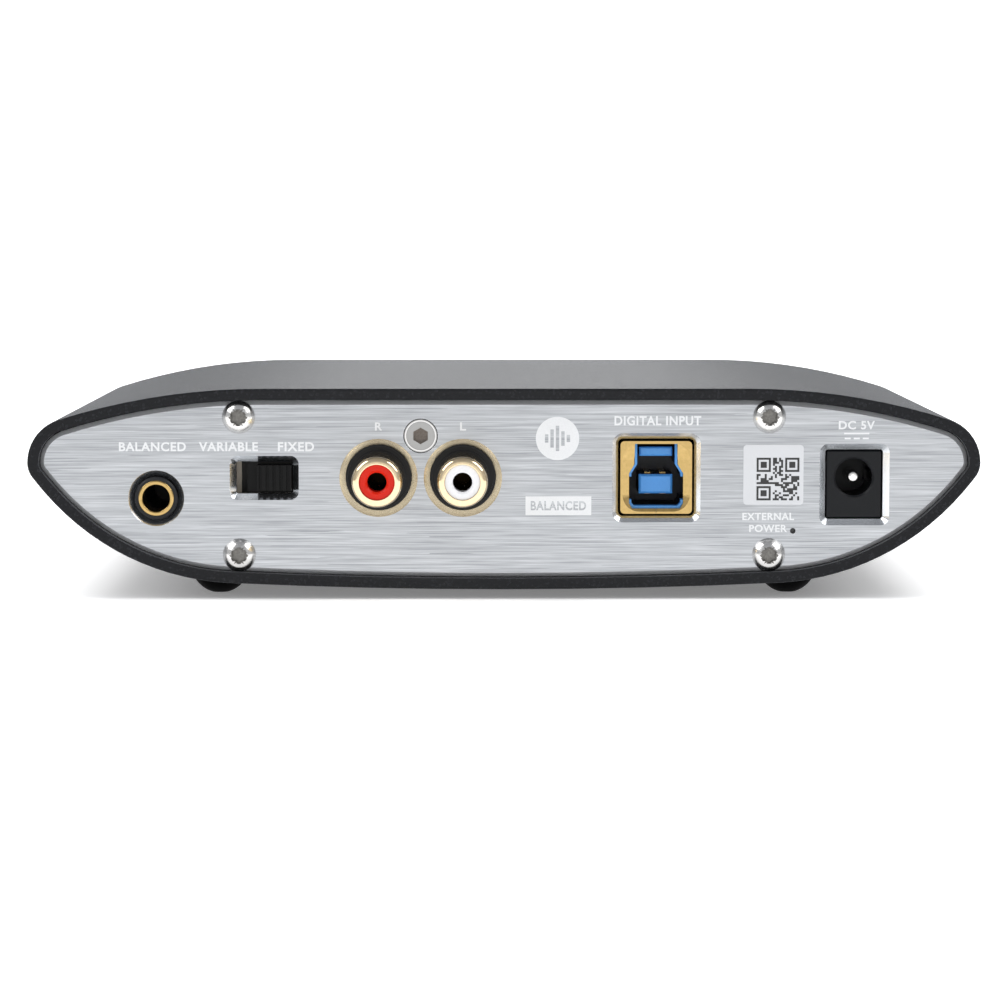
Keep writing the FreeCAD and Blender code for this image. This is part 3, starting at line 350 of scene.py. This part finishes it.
satin = Finish("satin_edge")
wipe = satin.grain(0.2)
satin.surface(
    Base_Color=satin.mix(wipe, (0.62, 0.63, 0.65), (0.74, 0.75, 0.77)), Metallic=0.45,
    Roughness=0.38 + 0.1 * wipe,
)
recoat("rear_panel", satin, sloped)
recoat("front_panel", satin, sloped)
recoat("rear_panel", milled, near_cut(
    "line_jack_sleeve", "switch_slider", "phono_shell_left", "phono_shell_right", "usb_shell", "dc_jack_body",
    "phono_fixing_screw", "power_led",
))
recoat("front_panel", milled, near_cut(
    "volume_knob", "gain_button", "bass_button", "phones_jack_sleeve", "balanced_jack_sleeve",
))


# ---- the rear plate's print --------------------------------------------------------------------------
# One pass of white screen ink, two hundredths of a millimetre thick: plain words by each socket, the sign
# for direct current, a bar with a word left open in it and a disc with five level bars left open.

ink = Finish("white_ink")
mottle = ink.grain(0.18, detail=3.0)
ink.surface(
    Base_Color=ink.mix(mottle, (0.64, 0.65, 0.66), (0.76, 0.77, 0.78)), Roughness=0.45 + 0.2 * mottle,
    Normal=ink.relief(mottle, 0.004),
)
ink_thickness = 0.02 * MM
word_lift = 0.01 * MM
stroke = 0.028


def keep(name, data, finish, body):
    """Adds a finished piece to the model, riding on a body."""
    piece = bpy.data.objects.new(name, data)
    data.materials.append(finish.material)
    scene.collection.objects.link(piece)
    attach(piece, body)
    return piece


def letters(text, width, height, weight=0.0):
    """A mesh of text, width by height, centred on the origin in the XY plane."""
    curve = bpy.data.curves.new(text, "FONT")
    curve.body, curve.size, curve.extrude, curve.offset = text, 1.0, 0.05, weight
    curve.resolution_u = 4
    curve.space_character = 1.1
    holder = bpy.data.objects.new(text, curve)
    mesh = bpy.data.meshes.new_from_object(holder)
    bpy.data.objects.remove(holder)
    corners = [v.co for v in mesh.vertices]
    low = Vector([min(c[i] for c in corners) for i in range(3)])
    high = Vector([max(c[i] for c in corners) for i in range(3)])
    size = high - low
    fit = Matrix.Diagonal((width / size.x, height / size.y, ink_thickness / size.z, 1))
    mesh.transform(fit @ Matrix.Translation(-(low + high) / 2))
    return mesh


def tiles(rectangles, thickness):
    """A mesh of flat tiles, each given as (x0, x1, y0, y1)."""
    made = bmesh.new()
    for x0, x1, y0, y1 in rectangles:
        ring = [made.verts.new((x, y, -thickness / 2)) for x, y in ((x0, y0), (x1, y0), (x1, y1), (x0, y1))]
        base = made.faces.new(ring)
        top = bmesh.ops.extrude_face_region(made, geom=[base])["geom"]
        raised = [v for v in top if isinstance(v, bmesh.types.BMVert)]
        bmesh.ops.translate(made, verts=raised, vec=(0, 0, thickness))
    bmesh.ops.recalc_face_normals(made, faces=made.faces)
    mesh = bpy.data.meshes.new("tiles")
    made.to_mesh(mesh)
    made.free()
    return mesh


def on_rear(mesh, x, z, lift=0.0):
    """Turns a mesh in the XY plane to face out of the rear plate, with its middle at x and z."""
    out = rear_face + lift + ink_thickness / 2
    turn = Matrix(((-1, 0, 0, x), (0, 0, 1, out), (0, 1, 0, z), (0, 0, 0, 1)))
    mesh.transform(turn)
    return mesh


for name, text, x, z, width, height in (
    ("print_balanced", "BALANCED", 58.3, 25.35, 11.1, 1.55),
    ("print_variable", "VARIABLE", 45.7, 25.35, 9.8, 1.55),
    ("print_fixed", "FIXED", 34.5, 25.35, 6.0, 1.55),
    ("print_right", "R", 20.8, 28.7, 1.2, 1.35),
    ("print_left", "L", 6.8, 28.7, 1.0, 1.35),
    ("print_input", "DIGITAL INPUT", -25.5, 29.65, 14.4, 1.6),
    ("print_power_in", "DC 5V", -58.5, 28.9, 6.0, 1.45),
    ("print_external", "EXTERNAL", -43.9, 13.7, 8.6, 1.25),
    ("print_power", "POWER", -43.9, 11.7, 6.3, 1.25),
):
    word = letters(text, width * MM, height * MM, stroke)
    keep(name, on_rear(word, x * MM, z * MM), ink, "chassis")

dashes = [(-2.1, 2.1, 0.28, 0.55)] + [(c - 0.5, c + 0.5, -0.55, -0.28) for c in (-1.5, 0.0, 1.5)]
direct = tiles([[v * MM for v in dash] for dash in dashes], ink_thickness)
keep("print_direct_current", on_rear(direct, -58.5 * MM, 27.1 * MM), ink, "chassis")

bar_x, bar_z, bar_half_width, bar_half_height = -9.03 * MM, 15.5 * MM, 5.47 * MM, 1.57 * MM
bar = tiles([(-bar_half_width, bar_half_width, -bar_half_height, bar_half_height)], ink_thickness)
keep("print_bar", on_rear(bar, bar_x, bar_z), ink, "chassis")
word = letters("BALANCED", 9.2 * MM, 1.55 * MM, 0.03)
keep("print_bar_word", on_rear(word, bar_x, bar_z, word_lift), brushed, "chassis")

disc_x, disc_z, disc_radius = -8.86 * MM, 26.7 * MM, 3.6 * MM
disc = bmesh.new()
bmesh.ops.create_cone(
    disc, cap_ends=True, segments=96, radius1=disc_radius, radius2=disc_radius, depth=ink_thickness,
)
disc_mesh = bpy.data.meshes.new("disc")
disc.to_mesh(disc_mesh)
disc.free()
keep("print_disc", on_rear(disc_mesh, disc_x, disc_z), ink, "chassis")
half_bar = 0.28
level_sizes = ((-1.8, 0.7), (-0.9, 1.5), (0.0, 2.1), (0.9, 1.2), (1.8, 0.6))
levels = [(x - half_bar, x + half_bar, -h, h) for x, h in level_sizes]
bars = tiles([[v * MM for v in level] for level in levels], ink_thickness)
keep("print_levels", on_rear(bars, disc_x, disc_z, word_lift), brushed, "chassis")


# ---- the fixings -------------------------------------------------------------------------------------
# M3 button-head screws with six-lobe sockets hold the rear plate, and a countersunk hexagon-socket one
# ties the phono block to it. Stainless steel, tumbled, with fine turning marks. Hidden ones match.

stainless = Finish("stainless_screw")
scuff = stainless.grain(0.35, detail=4.0)
stainless.surface(
    Base_Color=stainless.mix(scuff, (0.62, 0.61, 0.60), (0.80, 0.79, 0.77)), Metallic=1.0,
    Roughness=0.13 + 0.16 * scuff, Normal=stainless.relief(scuff, 0.004),
)
dress(stainless, "rear_panel_screws", "front_carrier_screws")

# Painted shade: the faces inside the screws' sockets get a much darker steel colour, standing in for the
# shade in the recess.
painted_shade_socket = Finish("painted_shade_socket")
socket_shade_grain = painted_shade_socket.grain(0.3, detail=3.0)
painted_shade_socket.surface(
    Base_Color=painted_shade_socket.mix(socket_shade_grain, (0.05, 0.048, 0.045), (0.30, 0.29, 0.27)), Metallic=1.0,
    Roughness=0.32 + 0.2 * socket_shade_grain, Normal=painted_shade_socket.relief(socket_shade_grain, 0.02),
)
screws_low, screws_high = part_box("rear_panel_screws")
head, recess, recess_depth = 2.75 * MM, 1.4 * MM, 0.5 * MM
screw_xs, screw_zs = (screws_low.x + head, screws_high.x - head), (screws_low.z + head, screws_high.z - head)
screw_axes = [(x, z) for x in screw_xs for z in screw_zs]


def in_socket(centre, normal):
    reach = min(math.hypot(centre.x - x, centre.z - z) for x, z in screw_axes)
    return centre.y > rear_face - recess_depth and reach < recess


recoat("rear_panel_screws", painted_shade_socket, in_socket)

tie_low, tie_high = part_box("phono_fixing_screw")
tie_axis = (tie_low + tie_high) / 2
turned = Finish("turned_steel")
radius = turned.from_axis(tie_axis)
ring = turned.rings(radius, 16.0, 3.0)
# Painted highlight and painted shade: a light ring stands in for the highlight on the head's rim, and dark
# thin rings stand in for the shade in the gap round it and just inside the rim.
edge = (radius > 2.38) * (radius < 2.6)
line = (radius > 2.28) * (radius < 2.38) + (radius > 2.66)
turned.surface(
    Base_Color=turned.mix(0.35 * ring + 0.65 * edge - 0.5 * line, (0.26, 0.26, 0.255), (0.80, 0.79, 0.78)),
    Metallic=1.0, Roughness=0.26 + 0.15 * ring, Normal=turned.relief(ring, 0.003),
)
dress(turned, "phono_fixing_screw")


def on_flank(centre, normal):
    return centre.y < tie_high.y - 0.05 * MM and abs(normal.y) < 0.5


def on_floor(centre, normal):
    reach = math.hypot(centre.x - tie_axis.x, centre.z - tie_axis.z)
    return centre.y < tie_high.y - 0.3 * MM and normal.y > 0.5 and reach < 1.6 * MM


recoat("phono_fixing_screw", stainless, on_flank)
# Painted shade: the floor of the hex recess gets a dark brown colour, standing in for the shade at its
# bottom.
brown = Finish("socket_floor")
floor_shade_grain = brown.grain(0.25, detail=3.0)
brown.surface(
    Base_Color=brown.mix(floor_shade_grain, (0.09, 0.075, 0.065), (0.24, 0.21, 0.185)), Metallic=0.8,
    Roughness=0.4 + 0.1 * floor_shade_grain,
)
recoat("phono_fixing_screw", brown, on_floor)


# ---- the phono sockets -------------------------------------------------------------------------------
# Two turned brass sleeves, nickelled and flashed with pale gold, in one black moulding. Inside each is a
# glossy insulator, red for right and white for left, round a split contact that grips the plug's pin.

def plating(name, low, high, rough):
    gold = Finish(name)
    skin = gold.grain(0.5, detail=3.0)
    lathe = gold.grain(0.05, (0.15, 1, 0.15))
    gold.surface(
        Base_Color=gold.mix(skin, low, high), Metallic=1.0, Roughness=rough + 0.07 * skin + 0.05 * lathe,
        Normal=gold.relief(lathe, 0.0012),
    )
    return gold


pale_gold = plating("pale_gold_plate", (0.72, 0.56, 0.34), (0.86, 0.72, 0.50), 0.06)
dress(pale_gold, "phono_shell_left", "phono_shell_right")
deep_gold = plating("deep_gold_plate", (0.38, 0.26, 0.09), (0.56, 0.39, 0.165), 0.14)

phono_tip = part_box("phono_shell_left")[1].y
# Painted shade: the contact's colour falls to near black with depth into the bore, standing in for the shade
# inside it.
shade_painted_gold = Finish("dim_gold_plate")
sunk = phono_tip / MM - shade_painted_gold.along("Y")
shade = shade_painted_gold.node("MapRange", {}, {"Value": sunk, "From Min": 1.0, "From Max": 3.2})
tarnish = shade_painted_gold.grain(0.4, (1, 0.3, 1), 3.0)
shade_painted_gold.surface(
    Base_Color=shade_painted_gold.mix(shade, (0.50, 0.36, 0.16), (0.022, 0.014, 0.006)), Metallic=1.0,
    Roughness=0.25 + 0.2 * tarnish, Normal=shade_painted_gold.relief(tarnish, 0.004),
)
dress(shade_painted_gold, "phono_contacts")


def moulded(name, dark, light, rough, depth=0.006, gloss=0.5):
    """Moulded plastic with the fine skin of a spark-eroded tool."""
    plastic = Finish(name)
    skin = plastic.grain(0.25, detail=3.0)
    plastic.surface(
        Base_Color=plastic.mix(skin, dark, light), Roughness=rough + 0.14 * skin, Specular_IOR_Level=gloss,
        Normal=plastic.relief(skin, depth),
    )
    return plastic


black = moulded("black_moulding", (0.003, 0.003, 0.004), (0.010, 0.011, 0.012), 0.34, gloss=0.28)
dress(black, "phono_housing")
red = moulded("red_insulator", (0.56, 0.012, 0.003), (0.66, 0.019, 0.005), 0.24, 0.002, 0.2)
dress(red, "phono_insulator_right")
white_ring = moulded("white_insulator", (0.74, 0.74, 0.76), (0.84, 0.84, 0.86), 0.16, 0.002)
dress(white_ring, "phono_insulator_left")


# ---- the line jack -----------------------------------------------------------------------------------
# A 4.4 mm five-pole jack on the board: a black moulding with a gold-plated ring in its nose, and spring
# strips along its flanks.

dress(black, "line_jack_body")
dress(deep_gold, "line_jack_sleeve", "line_jack_contacts")


# ---- the data socket ---------------------------------------------------------------------------------
# A type B socket: a folded gold-plated steel shell round a blue moulding with two contact tongues.

dress(deep_gold, "usb_shell", "usb_contacts")
data_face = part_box("usb_shell")[1].y
blue = Finish("blue_moulding")
# Painted shade: the blue goes to near black deeper than 2.35 mm behind the socket's face, standing in for the
# shade inside the socket.
sunk = data_face / MM - blue.along("Y")
shade = blue.node("MapRange", {}, {"Value": sunk, "From Min": 2.35, "From Max": 3.6})
skin = blue.grain(0.3, detail=3.0)
light = blue.mix(skin, (0.045, 0.22, 0.56), (0.07, 0.28, 0.64))
blue.surface(
    Base_Color=blue.blend(shade, light, (0.002, 0.006, 0.022, 1)),
    Roughness=0.34 + 0.14 * skin, Normal=blue.relief(skin, 0.003),
)
dress(blue, "usb_insulator")


# ---- the power socket --------------------------------------------------------------------------------
# A square black moulding with a round hole for the barrel plug, a bright centre pin and a side spring.

square = moulded("power_moulding", (0.003, 0.0035, 0.0045), (0.008, 0.009, 0.011), 0.32, 0.006, 0.2)
dress(square, "dc_jack_body")
dress(stainless, "dc_jack_pin", "dc_jack_spring")


# ---- the output switch -------------------------------------------------------------------------------
# A slide switch on its own legs behind the plate: a folded tin can, a laminate base with riveted
# terminals and a pale strip at one end, and a black slider whose thumb piece has upright ribs.

tinned = Finish("tinned_can")
frost = tinned.grain(0.3, (0.1, 1, 1), 3.0)
tinned.surface(
    Base_Color=tinned.mix(frost, (0.62, 0.60, 0.55), (0.78, 0.76, 0.70)), Metallic=1.0,
    Roughness=0.30 + 0.2 * frost, Normal=tinned.relief(frost, 0.004),
)
dress(tinned, "switch_frame", "switch_terminals")
slider = moulded("slider_nylon", (0.001, 0.001, 0.001), (0.005, 0.005, 0.005), 0.26, 0.004, 0.14)
dress(slider, "switch_slider")
slider_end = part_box("switch_slider")[1].x
shim_gap = 1.15
laminate = Finish("switch_laminate")
fibre = laminate.grain(0.3, (1, 1, 0.05), 4.0)
shim = laminate.along("X") > slider_end / MM + shim_gap
board = laminate.mix(fibre, (0.006, 0.006, 0.006), (0.018, 0.016, 0.014))
laminate.surface(
    Base_Color=laminate.blend(shim, board, (0.62, 0.56, 0.47, 1)),
    Roughness=0.55 + 0.2 * fibre,
)
dress(laminate, "switch_base")


# ---- the power light and the sticker -----------------------------------------------------------------
# A small light under the board's edge sends its tip through a pinhole. Above it is a square matt sticker
# with a printed grid that holds no data: three corner squares and scattered cells.

lamp_lens = Finish("unlit_lens")
haze = lamp_lens.grain(0.2)
lamp_lens.surface(
    Base_Color=lamp_lens.mix(haze, (0.012, 0.012, 0.013), (0.03, 0.03, 0.032)), Roughness=0.2 + 0.2 * haze,
)
dress(lamp_lens, "power_led")

sticker = Finish("sticker_paper")
pulp = sticker.grain(0.12, detail=4.0)
sticker.surface(
    Base_Color=sticker.mix(pulp, (0.56, 0.57, 0.59), (0.63, 0.64, 0.66)), Roughness=0.5 + 0.2 * pulp,
    Normal=sticker.relief(pulp, 0.004),
)
dress(sticker, "panel_label")

black_ink = Finish("black_ink")
wet = black_ink.grain(0.1)
black_ink.surface(
    Base_Color=black_ink.mix(wet, (0.012, 0.012, 0.012), (0.03, 0.03, 0.03)), Roughness=0.4 + 0.2 * wet,
)
dice = random.Random(7)
count, marker, share_black, grid_side = 21, 7, 0.48, 7.1 * MM
cell = grid_side / count
label_low, label_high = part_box("panel_label")


def corner_square(column, row):
    """Whether a cell is in one of the three corner squares, and if so whether it is black."""
    for c0, r0 in ((0, 0), (count - marker, 0), (0, count - marker)):
        if c0 - 1 <= column <= c0 + marker and r0 - 1 <= row <= r0 + marker:
            reach = max(abs(column - c0 - marker // 2), abs(row - r0 - marker // 2))
            return True, reach in (0, 1, 3)
    return False, False


cells = []
for row in range(count):
    for column in range(count):
        corner, filled = corner_square(column, row)
        if filled if corner else dice.random() < share_black:
            x0, y0 = (column - count / 2) * cell, (count / 2 - 1 - row) * cell
            cells.append((x0, x0 + cell, y0, y0 + cell))
grid = tiles(cells, 0.01 * MM)
label_x, label_z = (label_low.x + label_high.x) / 2, (label_low.z + label_high.z) / 2
grid_place = on_rear(grid, label_x - 0.75 * MM, label_z - 0.7 * MM, 0.1 * MM)
keep("label_grid", grid_place, black_ink, "chassis")


# ---- the board and what stands on it -----------------------------------------------------------------
# A green glass-epoxy board in the case's slots, with moulded chips, plated clock cans, sleeved
# capacitors, film capacitors and ferrite inductors.

mask = Finish("solder_mask")
bands = {"wave_type": "BANDS", "bands_direction": "DIAGONAL"}
weave = mask.node("TexWave", bands, {"Vector": mask.place(), "Scale": 0.35, "Distortion": 9.0}, "Fac")
track = mask.node("TexBrick", {}, {"Vector": mask.place(), "Scale": 0.25, "Mortar Size": 0.05}, "Fac")
mask.surface(
    Base_Color=mask.mix(weave * 0.4 + track * 0.6, (0.006, 0.055, 0.026), (0.022, 0.16, 0.075)),
    Roughness=0.28 + 0.2 * track, Normal=mask.relief(track, 0.03),
)
dress(mask, "main_board")
dress(moulded("chip_moulding", (0.010, 0.010, 0.011), (0.026, 0.026, 0.028), 0.5), "signal_chips")
dress(tinned, "clock_cans")
can = Finish("capacitor_can")
sleeve_top = 20.4
sleeve = can.along("Z") < sleeve_top
scratched = can.grain(0.3)
can.surface(
    Base_Color=can.mix(sleeve, (0.62, 0.62, 0.63), (0.012, 0.014, 0.02)), Metallic=1 - sleeve,
    Roughness=0.3 + 0.15 * scratched,
)
dress(can, "electrolytic_capacitors")
dress(moulded("film_case", (0.32, 0.018, 0.012), (0.42, 0.03, 0.02), 0.3), "film_capacitors")
dress(moulded("ferrite", (0.03, 0.03, 0.032), (0.06, 0.06, 0.062), 0.6, 0.02), "power_inductors")


# ---- the front plate's carrier -----------------------------------------------------------------------
# A black sheet frame screwed into the case; the front plate is stuck to it with foam tape.

dress(moulded("carrier_paint", (0.012, 0.012, 0.013), (0.026, 0.026, 0.028), 0.5), "front_carrier")
tape = Finish("foam_tape")
foam = tape.grain(0.3, detail=5.0)
tape.surface(
    Base_Color=tape.mix(foam, (0.03, 0.03, 0.03), (0.07, 0.07, 0.07)), Roughness=0.8,
    Normal=tape.relief(foam, 0.03),
)
dress(tape, "front_panel_tape")


# ---- the volume control ------------------------------------------------------------------------------
# A knob turned from aluminium bar, its face spun with fine rings, pressed on a 6 mm shaft. Round it a
# milky ring carries light from the board when the converter is on.

knob_low, knob_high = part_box("volume_knob")
knob_axis = (knob_low + knob_high) / 2

spun = Finish("spun_knob")
groove = spun.rings(spun.from_axis(knob_axis), 7.0, 4.0)
spun.surface(
    Base_Color=spun.mix(groove, (0.40, 0.41, 0.42), (0.60, 0.61, 0.63)), Metallic=1.0,
    Roughness=0.22 + 0.16 * groove, Normal=spun.relief(groove, 0.012),
)
dress(spun, "volume_knob")
dress(stainless, "pot_shaft", "pot_bush")
dress(moulded("control_case", (0.02, 0.02, 0.022), (0.05, 0.05, 0.052), 0.45), "pot_body")
milky = Finish("milky_ring")
cream = milky.grain(2.0)
milky.surface(
    Base_Color=milky.mix(cream, (0.70, 0.71, 0.73), (0.80, 0.81, 0.83)), Roughness=0.35 + 0.1 * cream,
)
dress(milky, "halo_light_guide")


# ---- the push buttons --------------------------------------------------------------------------------
# Two turned caps on the plungers of latching switches, each with a coil spring and, above it, the
# window of a clear light pipe.

cap = Finish("turned_cap")
polish = cap.grain(0.08, (1, 0.2, 1), 3.0)
cap.surface(
    Base_Color=cap.mix(polish, (0.56, 0.57, 0.58), (0.76, 0.77, 0.78)), Metallic=1.0,
    Roughness=0.2 + 0.15 * polish, Normal=cap.relief(polish, 0.003),
)
dress(cap, "gain_button", "bass_button")
nylon = moulded("white_nylon", (0.70, 0.70, 0.68), (0.80, 0.80, 0.78), 0.4)
dress(nylon, "gain_switch_plunger", "bass_switch_plunger", "front_leds")
dress(black, "gain_switch_body", "bass_switch_body")
dress(stainless, "gain_switch_spring", "bass_switch_spring")
dress(milky, "button_light_pipes")


# ---- the headphone jacks -----------------------------------------------------------------------------
# A 6.35 mm and a 4.4 mm jack, black mouldings on the board with gold-plated rings in the plate's holes.

dress(black, "phones_jack_body", "balanced_jack_body")
dress(deep_gold, "phones_jack_sleeve", "phones_jack_contacts")
dress(deep_gold, "balanced_jack_sleeve", "balanced_jack_contacts")
